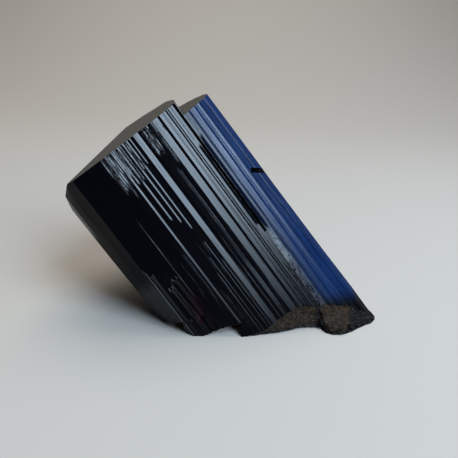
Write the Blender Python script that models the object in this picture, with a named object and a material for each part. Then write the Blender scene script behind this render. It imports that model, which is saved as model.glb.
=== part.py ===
"""Tourmaline crystal lying on its broken base.

A thick prism of black tourmaline, ridged along its length, with a second prism
grown against its right-hand side. It is modelled in the crystal's own axes, in
millimetres, then laid down as it rests and scaled to metres.
"""
import math
import random

import bmesh
import bpy
from mathutils import Matrix, Vector, noise

MM = 0.001
SEED = 41

# Crystal axes as they lie in the part's frame: across, depth and length.
ACROSS = Vector((0.7700, 0.2380, 0.5920))
DEPTH = Vector((-0.0650, 0.9530, -0.2970))
LENGTH = Vector((-0.6349, 0.1901, 0.7488))
# Where the chip that touches the ground lies in the part's frame, in mm.
CHIP_AT = Vector((3.965, -17.691, 0.0))

# Main prism, seen along its length: front outline (across, depth).
MAIN_FRONT = ((-12.3, 9.3), (-11.3, 4.9), (-9.3, 2.0), (-7.1, -0.3), (-3.0, -0.1),
              (0.0, 0.0), (5.0, 0.7), (10.0, 1.6), (15.0, 3.0), (16.3, 3.6))
MAIN_REAR = ((16.9, 11.6), (15.9, 17.2), (10.3, 22.0), (4.9, 24.6), (-1.0, 23.8),
             (-7.0, 19.4), (-11.0, 14.0))
# Second prism on the right, with an inner side that stays inside the main prism.
SIDE_FRONT = ((15.9, 3.7), (19.5, 5.0), (22.1, 6.3), (23.1, 8.1))
SIDE_REAR = ((22.9, 10.8), (21.5, 14.4), (18.5, 18.1), (12.0, 23.5), (5.0, 27.0),
             (0.2, 25.4), (4.0, 21.0), (10.0, 17.0), (13.5, 8.0))
# The prism narrows downward on the left and spreads at the foot on the right:
# edge across, way it moves, heights along the crystal and shifts there.
LEFT_TAPER = ((8.0, 0.0), (14.0, -0.1), (28.0, -0.35), (38.5, -0.45), (41.0, 0.1), (43.0, 0.5))
RIGHT_SPREAD = ((-18.0, 1.0), (-8.0, 0.9), (2.0, 0.55), (20.0, 0.15), (27.0, 0.08), (41.0, -0.2))

# Flat lengthwise facets of the front: from, to (across), turn in degrees to the right,
# and the heights between which they show.
MAIN_FACETS = ((-6.4, -6.0, -24, -30, 20), (-5.2, -4.6, -28, -30, 17), (-3.7, -2.9, -28, -30, 18),
               (-0.6, 0.9, 12, 34, 60), (1.4, 1.7, 24, -30, 60), (2.7, 3.1, 24, 24, 60),
               (3.8, 4.2, 24, 21, 60), (4.7, 5.1, 24, 19, 60), (6.4, 7.4, 22, -30, 60),
               (9.7, 10.1, 24, -30, 60), (10.7, 12.0, 22, -30, 60), (12.6, 13.9, 22, -30, 60),
               (14.5, 15.5, 22, -30, 60))
SIDE_FACETS = ((16.9, 17.3, 34, -30, 60), (18.3, 18.8, 36, -30, 60), (19.7, 21.2, 33, -30, 60))
# Width of the steep sides of the facets that turn to the left.
RETURN_WIDTH = 0.09
# Crack at the left foot (across, along) and how far the lobe under it is set back.
CRACK = ((-8.4, 9.6), (-6.9, 9.0), (-5.4, 8.3), (-4.0, 8.1), (-3.1, 7.5), (-1.8, 5.0))
LOBE_SETBACK = 0.32

# Growth ends: height along the crystal = base + across * a + depth * b.
MAIN_TOP = (41.78, -0.004, 0.32)
SIDE_TOP = (38.91, 0.002, 0.32)
BEVEL_POINTS = (Vector((-8.0, 2.0, 42.45)), Vector((4.9, 24.5, 49.60)),
                Vector((-12.6, 9.0, 41.00)))
LENGTH_STATIONS = (-19.5, -13.0, -6.0, 0.0, 5.0, 7.3, 7.8, 8.3, 8.8, 9.3, 10.0, 14.0, 17.0,
                   19.0, 21.0, 24.0, 27.0, 31.0, 34.0, 36.5, 38.5, 41.0, 42.5, 45.0, 56.0)

# Groove between the prisms: across, depth, half width, depth cut, lower end, upper end.
GROOVE = (15.95, 3.3, 0.33, 1.0, 13.0, 60.0)
GROOVE_TURN = 8.0
# Short slot in the right-hand edge, as it lies: middle, size, lean.
NOTCH = (Vector((2.05, 15.0, 28.8)), Vector((3.6, 4.8, 1.0)), -13.5)

# Height of the broken lower edge above the ground along the front (x, height), by piece.
EDGE_LEFT = ((-22.0, 0.3), (-14.9, 0.3), (-14.2, 0.6), (-12.2, 1.95), (-11.1, 2.75))
EDGE_LOBE = ((-11.0, 1.5), (-10.4, 0.3), (-8.6, 0.0), (-7.0, 0.0), (-4.7, 1.1),
             (-2.8, 2.0), (-0.1, 2.6))
EDGE_RIGHT = ((0.0, 0.0), (1.2, 0.0), (2.6, 0.5), (4.2, 0.9), (5.2, 1.2), (6.3, 2.2),
              (7.9, 3.1), (9.4, 4.0), (10.4, 4.45), (13.0, 4.5), (16.9, 4.1), (19.7, 3.55),
              (23.2, 3.0), (24.4, 2.2), (25.6, 1.0), (27.0, 0.5), (32.0, 0.5))
# Lower rim of the base behind the right-hand edge (x, height), and its width.
RIM = ((0.0, 0.0), (2.0, 0.0), (4.0, 0.15), (6.0, 0.45), (10.0, 0.6), (14.0, 0.6),
       (16.0, 0.4), (32.0, 0.4))
RIM_WIDTH = ((-0.1, 0.6), (1.0, 1.4), (3.0, 2.4), (16.0, 3.0))
# Broken face under that edge: how far it is set back at the top (x, depth), where its
# foot stands (x, y), and the ledge between (share of height, share of the way forward).
FACE_TOP = ((1.5, 0.2), (5.0, 0.3), (10.0, 0.5), (14.0, 0.5), (20.0, 0.3), (22.5, 0.1),
            (24.0, -0.6))
FACE_FOOT = ((1.5, 0.3), (3.0, 0.8), (5.1, 1.3), (7.5, 1.8), (10.1, 2.9), (11.7, 3.8),
             (13.7, 4.0), (15.3, 3.9), (17.0, 3.6), (24.6, 6.5))
FACE_LEDGE = ((0.0, 0.0), (0.42, 0.20), (0.50, 0.52), (0.82, 0.72), (1.0, 1.0))
FACE_X = (1.5, 24.6, 1.1)
FACE_SHARES = (0.0, 0.15, 0.32, 0.39, 0.6, 0.8, 1.0)
# Places where the base comes down: x, y, flat radius, height above the ground.
PADS = ((-7.9, -0.2, 0.9, 0.0), (0.7, 0.5, 0.7, 0.0), (-16.4, 13.0, 2.4, 0.0),
        (-8.6, 22.6, 2.4, 0.0), (8.5, 22.8, 2.2, 0.0), (19.6, 16.8, 1.5, 0.0),
        (-15.6, 6.6, 1.0, 0.2))
HOLLOW_DEPTH = 3.2
HOLLOW_REACH = 5.5
# Steps of the broken base: x from, x to, x step, then distances behind the front.
BREAK_X = (-27.0, 37.0, 1.0)
BREAK_STEPS_X = (-11.1, -11.0, -0.1, 0.0)
BREAK_ROWS = (-9.0, -1.5, 0.0, 0.6, 1.2, 1.8, 2.4, 3.1, 4.2, 5.6, 7.4, 9.4, 11.6,
              14.0, 16.5, 19.2, 22.0, 25.0, 29.0, 36.0)
BLOCK_BOTTOM = -45.0
BLOCK_REACH = 14.0

# Broken foot under the right-hand prism: outline on the ground, outline where it meets
# the prism, and how far inward each share of its height lies.
FOOT_GROUND = ((16.2, 7.0), (15.9, 5.2), (16.0, 3.8), (16.7, 2.7), (18.0, 2.2), (19.3, 2.35),
               (20.6, 2.8), (22.0, 3.6), (23.4, 4.7), (25.2, 6.0), (26.9, 7.0), (28.2, 8.6),
               (27.9, 10.4), (25.5, 12.2), (21.0, 13.1), (17.5, 11.7))
FOOT_TOP = ((15.6, 8.0, 3.3), (15.2, 6.9, 3.6), (15.4, 6.4, 3.9), (16.4, 6.8, 3.95),
            (17.8, 7.3, 3.75), (19.2, 7.8, 3.45), (20.6, 8.3, 3.25), (22.0, 8.8, 3.05),
            (23.2, 9.3, 2.8), (24.2, 9.9, 2.6), (24.8, 10.6, 2.4), (25.0, 11.5, 2.4),
            (24.6, 12.3, 2.4), (23.5, 12.7, 2.4), (20.5, 13.3, 2.7), (17.0, 11.7, 2.9))
FOOT_MIDDLE = Vector((21.0, 9.0, 0.0))
FOOT_PROFILE = ((0.0, 0.0), (0.12, -0.02), (0.36, 0.05), (0.50, 0.20), (0.75, 0.60), (1.0, 1.0))
FOOT_ROWS = 8
FOOT_DIVISIONS = 2
SLIVER = 0.0005


def along(points, value):
    """Value read off a line of (position, value) points."""
    if value <= points[0][0]:
        return points[0][1]
    for (x0, y0), (x1, y1) in zip(points, points[1:]):
        if value <= x1:
            return y0 + (y1 - y0) * (value - x0) / (x1 - x0)
    return points[-1][1]


def smooth(value):
    """Ease from 0 to 1."""
    value = min(1.0, max(0.0, value))
    return value * value * (3.0 - 2.0 * value)


def front_outline(outline, facets):
    """Front side with its facets: across, depth, rise at the facet end, heights."""
    breaks = [(x, 0.0, -99.0, 99.0) for x, y in outline
              if all(not f[0] <= x <= f[1] for f in facets)]
    for start, end, turn, low, high in facets:
        half = 0.5 * (end - start)
        slope = (along(outline, end) - along(outline, start)) / (end - start)
        rise = half * (math.tan(math.radians(turn)) - slope)
        breaks.append((start, -rise, low, high))
        breaks.append((end, rise, low, high))
        if turn < 0.0:
            breaks.append((start - RETURN_WIDTH, 0.0, low, high))
            breaks.append((end + RETURN_WIDTH, 0.0, low, high))
    breaks.sort()
    return [(x, along(outline, x), rise, low, high) for x, rise, low, high in breaks]


def rear_outline(points, step, size, rng):
    """Rear side broken into ridges of uneven width."""
    result = []
    for (x0, y0), (x1, y1) in zip(points, points[1:]):
        length = math.hypot(x1 - x0, y1 - y0)
        count = max(1, round(length / step))
        for index in range(count):
            t = (index + (rng.uniform(-0.25, 0.25) if index else 0.0)) / count
            out = 0.0 if index == 0 else rng.uniform(-size, size)
            nx, ny = (y1 - y0) / length, -(x1 - x0) / length
            result.append((x0 + (x1 - x0) * t, y0 + (y1 - y0) * t, nx * out, ny * out))
    return result


def prism(name, front, facets, rear, rear_step, rng):
    """Ridged prism: one ring of the outline, drawn out station by station."""
    front_points = front_outline(front, facets)
    rear_points = rear_outline([front[-1], *rear, front[0]], rear_step, 0.22, rng)[1:]
    count = len(front_points) + len(rear_points)
    bm = bmesh.new()
    ring = bmesh.ops.create_circle(bm, segments=count, radius=1.0)["verts"]
    rings = [ring]
    for station in LENGTH_STATIONS[1:]:
        previous = rings[-1]
        edges = {e for v in previous for e in v.link_edges
                 if all(w in previous for w in e.verts)}
        made = bmesh.ops.extrude_edge_only(bm, edges=list(edges))["geom"]
        new = {v for v in made if isinstance(v, bmesh.types.BMVert)}
        ordered = []
        for vert in previous:
            ordered.append(next(e.other_vert(vert) for e in vert.link_edges
                                if e.other_vert(vert) in new))
        rings.append(ordered)
    fade = {i: rng.uniform(-2.0, 2.0) for i in range(count)}
    for station, verts in zip(LENGTH_STATIONS, rings):
        for index, vert in enumerate(verts):
            wander = noise.noise(Vector((index * 3.7, station * 0.11 + fade[index], SEED)))
            strength = 1.0 + 0.35 * wander
            if index < len(front_points):
                x, y, rise, low, high = front_points[index]
                shown = smooth((station - low) / 3.0) * smooth((high - station) / 3.0)
                y += rise * strength * shown
                lobe = smooth((x + 8.6) / 0.4) * smooth((-1.8 - x) / 0.4)
                y += LOBE_SETBACK * lobe * smooth((along(CRACK, x) - station) / 0.5)
            else:
                x, y, dx, dy = rear_points[index - len(front_points)]
                x += dx * strength
                y += dy * strength
            x += along(LEFT_TAPER, station) * smooth((-8.0 - x) / 3.5)
            x += along(RIGHT_SPREAD, station) * smooth((x - 19.0) / 3.0)
            vert.co = (x, y, station)
    bmesh.ops.holes_fill(bm, edges=[e for e in bm.edges if e.is_boundary], sides=0)
    bmesh.ops.recalc_face_normals(bm, faces=bm.faces)
    return bm


def cut_above(bm, point, normal):
    """Cut off everything beyond a plane and close the cut."""
    cut = bmesh.ops.bisect_plane(bm, geom=[*bm.verts, *bm.edges, *bm.faces], plane_co=point,
                                 plane_no=normal, clear_outer=True, dist=1e-5)["geom_cut"]
    edges = [g for g in cut if isinstance(g, bmesh.types.BMEdge)]
    bmesh.ops.contextual_create(bm, geom=edges)
    bmesh.ops.recalc_face_normals(bm, faces=bm.faces)


def top_plane(top):
    """Point and normal of a growth end."""
    height, slope_x, slope_y = top
    return Vector((0.0, 0.0, height)), Vector((-slope_x, -slope_y, 1.0)).normalized()


def lie_down(bm):
    """Turn from the crystal's own axes to the way it lies, chip at the origin."""
    matrix = Matrix((ACROSS, DEPTH, LENGTH)).transposed().to_4x4()
    bmesh.ops.transform(bm, matrix=matrix, verts=bm.verts)


def make_object(name, bm, collection):
    """Turn a bmesh into an object in a collection."""
    mesh = bpy.data.meshes.new(name)
    bm.to_mesh(mesh)
    bm.free()
    result = bpy.data.objects.new(name, mesh)
    collection.objects.link(result)
    return result


def main_prism(collection, rng):
    """Thick prism with its sloping end and the bevel at the back left."""
    bm = prism("main", MAIN_FRONT, MAIN_FACETS, MAIN_REAR, 1.7, rng)
    cut_above(bm, *top_plane(MAIN_TOP))
    a, b, c = BEVEL_POINTS
    normal = (b - a).cross(c - a).normalized()
    cut_above(bm, a, normal if normal.z > 0.0 else -normal)
    lie_down(bm)
    return make_object("crystal", bm, collection)


def side_prism(collection, rng):
    """Second prism on the right, ending a step lower."""
    bm = prism("side", SIDE_FRONT, SIDE_FACETS, SIDE_REAR, 1.9, rng)
    cut_above(bm, *top_plane(SIDE_TOP))
    lie_down(bm)
    return make_object("side_prism", bm, collection)


def break_edge(x):
    """Height of the broken lower edge of the front."""
    if x < -11.05:
        return along(EDGE_LEFT, x)
    if x < -0.05:
        return along(EDGE_LOBE, x)
    return along(EDGE_RIGHT, x)


def crumble(place):
    """Angular roughness of broken stone, about -1 to 1."""
    near, far = noise.voronoi(place)[0][:2]
    return 0.9 * (far - near) - 0.4 + 0.5 * noise.noise(place * 2.3)


def front_y(x, z):
    """Where the front of the prisms stands at a place across and a height."""
    outline = MAIN_FRONT + SIDE_FRONT[1:]
    y = 0.0
    for _ in range(12):
        place = Vector((x, y, z))
        y += 0.6 * (along(outline, ACROSS.dot(place)) - DEPTH.dot(place)) / DEPTH.y
    return y


def break_height(x, y, line):
    """Height of the broken base above the ground, line being the front's place at x."""
    rim = break_edge(x)
    if x > -0.05:
        rim = min(rim, along(RIM, x))
    hollow = HOLLOW_DEPTH
    ripple = 0.45 * noise.noise(Vector((x * 0.45, y * 0.45, SEED)))
    ripple += 0.22 * noise.noise(Vector((x * 1.3, y * 1.3, SEED)))
    for pad_x, pad_y, radius, lift in PADS:
        away = max(0.0, math.hypot(x - pad_x, y - pad_y) - radius)
        rise = HOLLOW_DEPTH * (1.0 - math.exp(-(away / HOLLOW_REACH) ** 2))
        hollow = min(hollow, lift + max(0.0, rise + ripple * min(1.0, away / 1.5)))
    inner = smooth((y - line - along(RIM_WIDTH, x)) / 2.6)
    return max(0.0, rim + (hollow - rim) * inner)


def sheet(columns, rows, place):
    """Grid whose points come from a function of column and row."""
    bm = bmesh.new()
    bmesh.ops.create_grid(bm, x_segments=len(columns) - 1, y_segments=len(rows) - 1, size=1.0)
    for vert in bm.verts:
        column = columns[round((vert.co.x + 1.0) * 0.5 * (len(columns) - 1))]
        row = rows[round((vert.co.y + 1.0) * 0.5 * (len(rows) - 1))]
        vert.co = place(column, row)
    return bm


def extrude_sheet(bm, move):
    """Make a closed block of a sheet by extruding it and moving the new side."""
    made = bmesh.ops.extrude_face_region(bm, geom=list(bm.faces))["geom"]
    for vert in (v for v in made if isinstance(v, bmesh.types.BMVert)):
        move(vert)
    bmesh.ops.recalc_face_normals(bm, faces=bm.faces)


def steps(start, end, step):
    """Even steps from start to end."""
    count = round((end - start) / step)
    return [start + (end - start) * index / count for index in range(count + 1)]


def break_cutter(collection):
    """Block whose upper side is the broken base."""
    columns = [x for x in steps(*BREAK_X) if all(abs(x - s) > 0.3 for s in BREAK_STEPS_X)]
    columns = sorted([*columns, *BREAK_STEPS_X])
    lines = {x: front_y(x, min(break_edge(x), 0.6)) for x in columns}

    def place(x, row):
        return x, lines[x] + row, break_height(x, lines[x] + row, lines[x])

    def drop(vert):
        vert.co.z = BLOCK_BOTTOM

    bm = sheet(columns, BREAK_ROWS, place)
    extrude_sheet(bm, drop)
    return make_object("cut_break", bm, collection)


def face_cutter(collection):
    """Block whose rear side is the broken face under the right-hand edge."""
    def place(x, down):
        edge = along(EDGE_RIGHT, x)
        z = edge - down * (edge + 1.5)
        share = min(1.0, max(0.0, (edge - z) / max(edge, 0.5)))
        top = front_y(x, edge) + along(FACE_TOP, x)
        rough = 0.26 * crumble(Vector((x * 0.75, z * 0.9, 3.0)))
        rough *= 0.35 + 0.65 * smooth(share / 0.15)
        y = top + (along(FACE_FOOT, x) - top) * along(FACE_LEDGE, share) + rough
        return x, y, z

    def forward(vert):
        vert.co.y -= BLOCK_REACH

    bm = sheet(steps(*FACE_X), FACE_SHARES, place)
    extrude_sheet(bm, forward)
    return make_object("cut_face", bm, collection)


def groove_cutter(collection):
    """Narrow block along the seam between the prisms."""
    x, y, half, deep, low, high = GROOVE
    size = (2.0 * half, 2.0 * deep, high - low, 1.0)
    bm = bmesh.new()
    bmesh.ops.create_cube(bm, size=1.0)
    place = (Matrix.Translation((x, y, 0.5 * (low + high)))
             @ Matrix.Rotation(math.radians(GROOVE_TURN), 4, "Z") @ Matrix.Diagonal(size))
    bmesh.ops.transform(bm, matrix=place, verts=bm.verts)
    lie_down(bm)
    return make_object("cut_groove", bm, collection)


def notch_cutter(collection):
    """Block that makes the slot in the right-hand edge."""
    middle, size, lean = NOTCH
    bm = bmesh.new()
    bmesh.ops.create_cube(bm, size=1.0)
    place = (Matrix.Translation(middle) @ Matrix.Rotation(math.radians(lean), 4, "X")
             @ Matrix.Diagonal((*size, 1.0)))
    bmesh.ops.transform(bm, matrix=place, verts=bm.verts)
    return make_object("cut_notch", bm, collection)


def around(points, index, divisions):
    """Point on a closed outline, between two of its corners."""
    corner, part = divmod(index, divisions)
    first = Vector(points[corner % len(points)])
    return first.lerp(Vector(points[(corner + 1) % len(points)]), part / divisions)


def broken_foot(collection):
    """Broken foot under the right-hand prism, flat where it touches the ground."""
    count = len(FOOT_GROUND) * FOOT_DIVISIONS
    bm = bmesh.new()
    bmesh.ops.create_grid(bm, x_segments=count, y_segments=FOOT_ROWS, size=1.0)
    for vert in bm.verts:
        index = round((vert.co.x + 1.0) * 0.5 * count) % count
        share = (vert.co.y + 1.0) * 0.5
        ground = around(FOOT_GROUND, index, FOOT_DIVISIONS).to_3d()
        top = around(FOOT_TOP, index, FOOT_DIVISIONS)
        place = ground.lerp(top, along(FOOT_PROFILE, share))
        place.z = top.z * share
        rough = 0.70 * crumble(place * 0.33)
        fade = smooth(share / 0.10) * (1.0 - 0.7 * smooth((share - 0.75) / 0.25))
        vert.co = place + (ground - FOOT_MIDDLE).normalized() * rough * fade
    bmesh.ops.remove_doubles(bm, verts=bm.verts, dist=1e-5)
    bmesh.ops.holes_fill(bm, edges=[e for e in bm.edges if e.is_boundary], sides=0)
    bmesh.ops.recalc_face_normals(bm, faces=bm.faces)
    return make_object("foot", bm, collection)


def boolean(target, other, operation):
    """Apply one boolean modifier and merge the slivers that it leaves."""
    modifier = target.modifiers.new(operation.lower(), "BOOLEAN")
    modifier.operation = operation
    modifier.solver = "EXACT"
    modifier.object = other
    bpy.context.view_layer.update()
    evaluated = target.evaluated_get(bpy.context.evaluated_depsgraph_get())
    mesh = bpy.data.meshes.new_from_object(evaluated)
    old = target.data
    target.modifiers.clear()
    target.data = mesh
    bpy.data.meshes.remove(old)
    bm = bmesh.new()
    bm.from_mesh(mesh)
    bmesh.ops.remove_doubles(bm, verts=bm.verts, dist=SLIVER)
    bmesh.ops.dissolve_degenerate(bm, edges=bm.edges, dist=SLIVER)
    bm.to_mesh(mesh)
    bm.free()


def stone_material():
    """Black tourmaline."""
    material = bpy.data.materials.new("black_tourmaline")
    material.use_nodes = True
    shader = material.node_tree.nodes["Principled BSDF"]
    shader.inputs["Base Color"].default_value = (0.006, 0.007, 0.012, 1.0)
    shader.inputs["Roughness"].default_value = 0.22
    shader.inputs["IOR"].default_value = 1.64
    return material


def finish(crystal):
    """Tidy the mesh, move it to the part's origin and scale it to metres."""
    bm = bmesh.new()
    bm.from_mesh(crystal.data)
    bmesh.ops.remove_doubles(bm, verts=bm.verts, dist=SLIVER)
    bmesh.ops.dissolve_degenerate(bm, edges=bm.edges, dist=SLIVER)
    bmesh.ops.translate(bm, vec=CHIP_AT, verts=bm.verts)
    bmesh.ops.scale(bm, vec=(MM, MM, MM), verts=bm.verts)
    bmesh.ops.triangulate(bm, faces=bm.faces)
    bm.to_mesh(crystal.data)
    bm.free()
    crystal.data.materials.clear()
    crystal.data.materials.append(stone_material())


def main():
    """Build the crystal."""
    for item in list(bpy.data.objects):
        bpy.data.objects.remove(item, do_unlink=True)
    rng = random.Random(SEED)
    scene = bpy.context.scene
    cutters = bpy.data.collections.new("cutters")
    scene.collection.children.link(cutters)
    crystal = main_prism(scene.collection, rng)
    side = side_prism(cutters, rng)
    boolean(crystal, side, "UNION")
    tools = [groove_cutter(cutters), notch_cutter(cutters), break_cutter(cutters),
             face_cutter(cutters)]
    for tool in tools:
        boolean(crystal, tool, "DIFFERENCE")
    foot = broken_foot(cutters)
    boolean(crystal, foot, "UNION")
    for tool in (side, foot, *tools):
        tool.hide_render = True
        tool.display_type = "WIRE"
    finish(crystal)


main()
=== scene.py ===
"""Looks of a black tourmaline crystal lying on a pale studio floor.

The file is laid out as an add-on and run as a script. Shapes are worked out in the
crystal's own axes in millimetres, laid down as the frame has them and scaled to metres.
"""
import math
import random

import bmesh
import bpy
from mathutils import Matrix, Vector, noise


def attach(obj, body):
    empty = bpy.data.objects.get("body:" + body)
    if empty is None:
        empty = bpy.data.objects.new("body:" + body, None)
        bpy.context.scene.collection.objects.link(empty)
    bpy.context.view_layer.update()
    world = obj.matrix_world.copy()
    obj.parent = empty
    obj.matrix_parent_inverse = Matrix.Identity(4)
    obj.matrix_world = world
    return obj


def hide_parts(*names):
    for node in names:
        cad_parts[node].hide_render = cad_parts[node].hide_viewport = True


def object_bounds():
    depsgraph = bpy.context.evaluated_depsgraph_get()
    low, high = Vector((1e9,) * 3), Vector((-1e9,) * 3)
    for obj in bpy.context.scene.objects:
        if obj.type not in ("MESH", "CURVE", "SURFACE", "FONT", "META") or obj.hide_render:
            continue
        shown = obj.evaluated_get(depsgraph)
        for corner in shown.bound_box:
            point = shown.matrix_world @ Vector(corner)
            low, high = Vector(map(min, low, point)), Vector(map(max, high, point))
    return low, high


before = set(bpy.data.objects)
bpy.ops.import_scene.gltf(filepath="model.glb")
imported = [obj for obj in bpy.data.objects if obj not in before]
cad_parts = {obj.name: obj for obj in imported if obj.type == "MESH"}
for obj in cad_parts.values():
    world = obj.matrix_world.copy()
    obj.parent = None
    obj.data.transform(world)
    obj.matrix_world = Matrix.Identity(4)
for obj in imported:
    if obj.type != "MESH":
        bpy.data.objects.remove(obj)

bl_info = {
    "name": "Tourmaline Crystal",
    "version": (1, 0, 0),
    "blender": (4, 5, 0),
    "location": "View3D > Sidebar > Crystal",
    "description": "Builds a ridged tourmaline crystal with a broken base",
    "category": "Add Mesh",
}

MM = 0.001
SEED = 41
CAD_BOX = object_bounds()

# Crystal axes as they lie in the frame: across, depth and length.
ACROSS = Vector((0.7700, 0.2380, 0.5920))
DEPTH = Vector((-0.0650, 0.9530, -0.2970))
LENGTH = Vector((-0.6349, 0.1901, 0.7488))
# Where the chip that touches the ground lies in the frame, in mm.
CHIP_AT = Vector((3.965, -17.691, 0.0))

# Main prism, seen along its length: front outline and rear outline (across, depth).
MAIN_FRONT = ((-12.3, 9.3), (-11.3, 4.9), (-9.3, 2.0), (-7.1, -0.3), (-3.0, -0.1),
              (0.0, 0.0), (5.0, 0.7), (10.0, 1.6), (15.0, 3.0), (16.3, 3.6))
MAIN_REAR = ((16.9, 11.6), (15.9, 17.2), (10.3, 22.0), (4.9, 24.6), (-1.0, 23.8),
             (-7.0, 19.4), (-11.0, 14.0))
# Second prism on the right, with an inner side that stays inside the main prism.
SIDE_FRONT = ((15.9, 3.7), (19.5, 5.0), (22.1, 6.3), (23.1, 8.1))
SIDE_REAR = ((22.9, 10.8), (21.5, 14.4), (18.5, 18.1), (12.0, 23.5), (5.0, 27.0),
             (0.2, 25.4), (4.0, 21.0), (10.0, 17.0), (13.5, 8.0))
SIDE_HIDDEN = 5
# Shift of the left and right edges at heights along the crystal.
LEFT_TAPER = ((8.0, 0.0), (14.0, -0.1), (28.0, -0.35), (38.5, -0.45), (41.0, 0.1), (43.0, 0.5))
RIGHT_SPREAD = ((-18.0, 1.0), (-8.0, 0.9), (2.0, 0.55), (20.0, 0.15), (27.0, 0.08), (41.0, -0.2))
# Where those shifts begin (across) and how far on they are full.
LEFT_REACH = (-8.0, 3.5)
RIGHT_REACH = (19.0, 3.0)

# Flat lengthwise facets of the front: from, to (across), turn in degrees to the right,
# and the heights along the crystal between which they show, ALL where that is everywhere.
ALL = (-30.0, 60.0)
MAIN_FACETS = (
    (-7.05, -6.9, -26, -30, 22), (-6.45, -6.05, -24, -30, 20), (-5.2, -4.6, -28, -30, 16),
    (-3.7, -2.9, -28, -30, 17), (-2.35, -2.2, 20, 10, 31), (-0.95, -0.75, 22, 36, 60),
    (-0.55, 0.25, 17, 33, 60), (0.45, 0.75, 20, 31, 60), (0.9, 1.1, 22, 35, 60),
    (1.35, 1.65, 25, 1, 60), (1.75, 1.95, 22, 35, 60), (2.05, 2.3, 22, 33, 60),
    (2.45, 2.6, 22, 36, 60), (2.75, 3.02, 24, 24.5, 60), (3.25, 3.5, 19, 34, 60),
    (3.6, 3.72, 21, -30, 14), (3.9, 4.15, 24, 23, 60), (4.25, 4.35, 21, -30, 17),
    (4.4, 4.6, 20, 35, 60), (4.8, 5.05, 24, 21, 60), (5.2, 5.34, 21, -30, 20),
    (5.5, 5.7, 22, 35, 60), (5.85, 5.96, 21, -30, 15), (6.4, 7.4, 22, *ALL),
    (8.2, 8.32, 21, -30, 18), (9.05, 9.15, 21, -30, 15), (9.75, 10.6, 5, -30, 34),
    (10.75, 11.95, 22, *ALL), (12.5, 13.1, 22, *ALL),
    (13.2, 13.35, 24, 5, 60), (13.45, 13.85, 22, *ALL), (14.2, 14.35, 22, *ALL),
    (14.6, 15.05, 22, *ALL), (15.15, 15.55, 3, 14, 35),
)
SIDE_FACETS = (
    (16.25, 16.9, 2, 12.5, 36), (17.0, 17.45, 21, *ALL), (17.55, 17.75, 32, *ALL),
    (17.9, 18.15, 20, *ALL), (18.3, 18.9, 22, *ALL), (19.0, 19.2, 36, *ALL),
    (19.35, 19.5, 23, 0, 60), (19.7, 20.2, 20, *ALL), (20.3, 20.5, 34, *ALL),
    (20.6, 21.5, 37, *ALL), (21.6, 21.8, 24, 17, 60),
)
# Width of the steep sides of the facets that turn to the left.
RETURN_WIDTH = 0.09
# Etched patches: from, to (across), low, high (along), depth of the pitting in mm.
ETCHED = (
    (-1.2, 5.4, 33.0, 44.0, 0.05), (7.6, 9.7, 35.5, 44.0, 0.10), (9.9, 12.2, 37.5, 44.0, 0.04),
    (14.8, 17.2, -7.0, 7.0, 0.09), (12.4, 14.2, -6.0, 7.0, 0.04), (-7.0, 0.5, -2.0, 5.0, 0.03),
    (19.0, 23.5, -18.0, -8.5, 0.12), (16.4, 18.0, 35.0, 44.0, 0.03),
)
ROW_STEP = 0.55
ROW_RANGE = (-19.5, 51.5)
RIB_STEP = 0.22
FINE_RIB_DEPTH = 0.016
# Share of the fine ribs that shows on the crease where two facets meet.
CREASE_FINE = 0.35
# Share of the fine ribs that shows at the left of the front, and where it grows to all.
CALM_LEFT = (0.4, 3.0)
# Noises of ribs and pits: change from rib to rib (or per mm across), change per mm along
# the crystal, and a number that sets each apart.
RIB_DRIFT = (0.73, 0.10, 0.0)
RIB_WAVE = (1.91, 0.06, 3.0)
RIB_RIPPLE = (2.77, 0.25, 7.0)
WIDE_PITS = (3.1, 1.3, 11.0)
CLOSE_PITS = (6.3, 3.1, 13.0)
# How much the rise of a facet drifts along it, and lengths in mm over which shapes fade.
RISE_DRIFT = 0.22
FACET_FADE = 2.0
PATCH_FADE = (0.4, 2.5)
# Facets of the sides that the photograph doesn't show.
REAR_WIDTHS = (0.35, 0.5, 0.8, 1.3, 1.9)
REAR_RISE = 0.16
REAR_RIB_STEP = 1.8 * RIB_STEP
SHORTEST_FACET = 0.3

# Growth ends: height along the crystal = base + across * a + depth * b.
MAIN_TOP = (41.78, -0.004, 0.32)
SIDE_TOP = (38.91, 0.002, 0.32)
BEVEL_POINTS = (Vector((-8.0, 2.0, 42.45)), Vector((4.9, 24.5, 49.60)),
                Vector((-12.6, 9.0, 41.00)))

# Groove between the prisms: across, depth, half width, depth cut, lower end, upper end.
GROOVE = (15.95, 3.3, 0.30, 1.0, 13.0, 60.0)
GROOVE_TURN = 8.0
# Short slot in the right-hand edge, as it lies: middle, size, lean.
NOTCH = (Vector((2.05, 15.0, 28.8)), Vector((3.6, 4.8, 1.0)), -13.5)
# Crack at the left foot (across, along), and how far and between which places the lobe
# under it is set back.
CRACK = ((-8.4, 9.6), (-6.9, 9.0), (-5.4, 8.3), (-4.0, 8.1), (-3.1, 7.5), (-1.8, 5.0))
LOBE_SETBACK = 0.32
LOBE_SPAN = (-8.6, -1.8)
LOBE_FADE = 0.4
CRACK_FADE = 0.3

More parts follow.
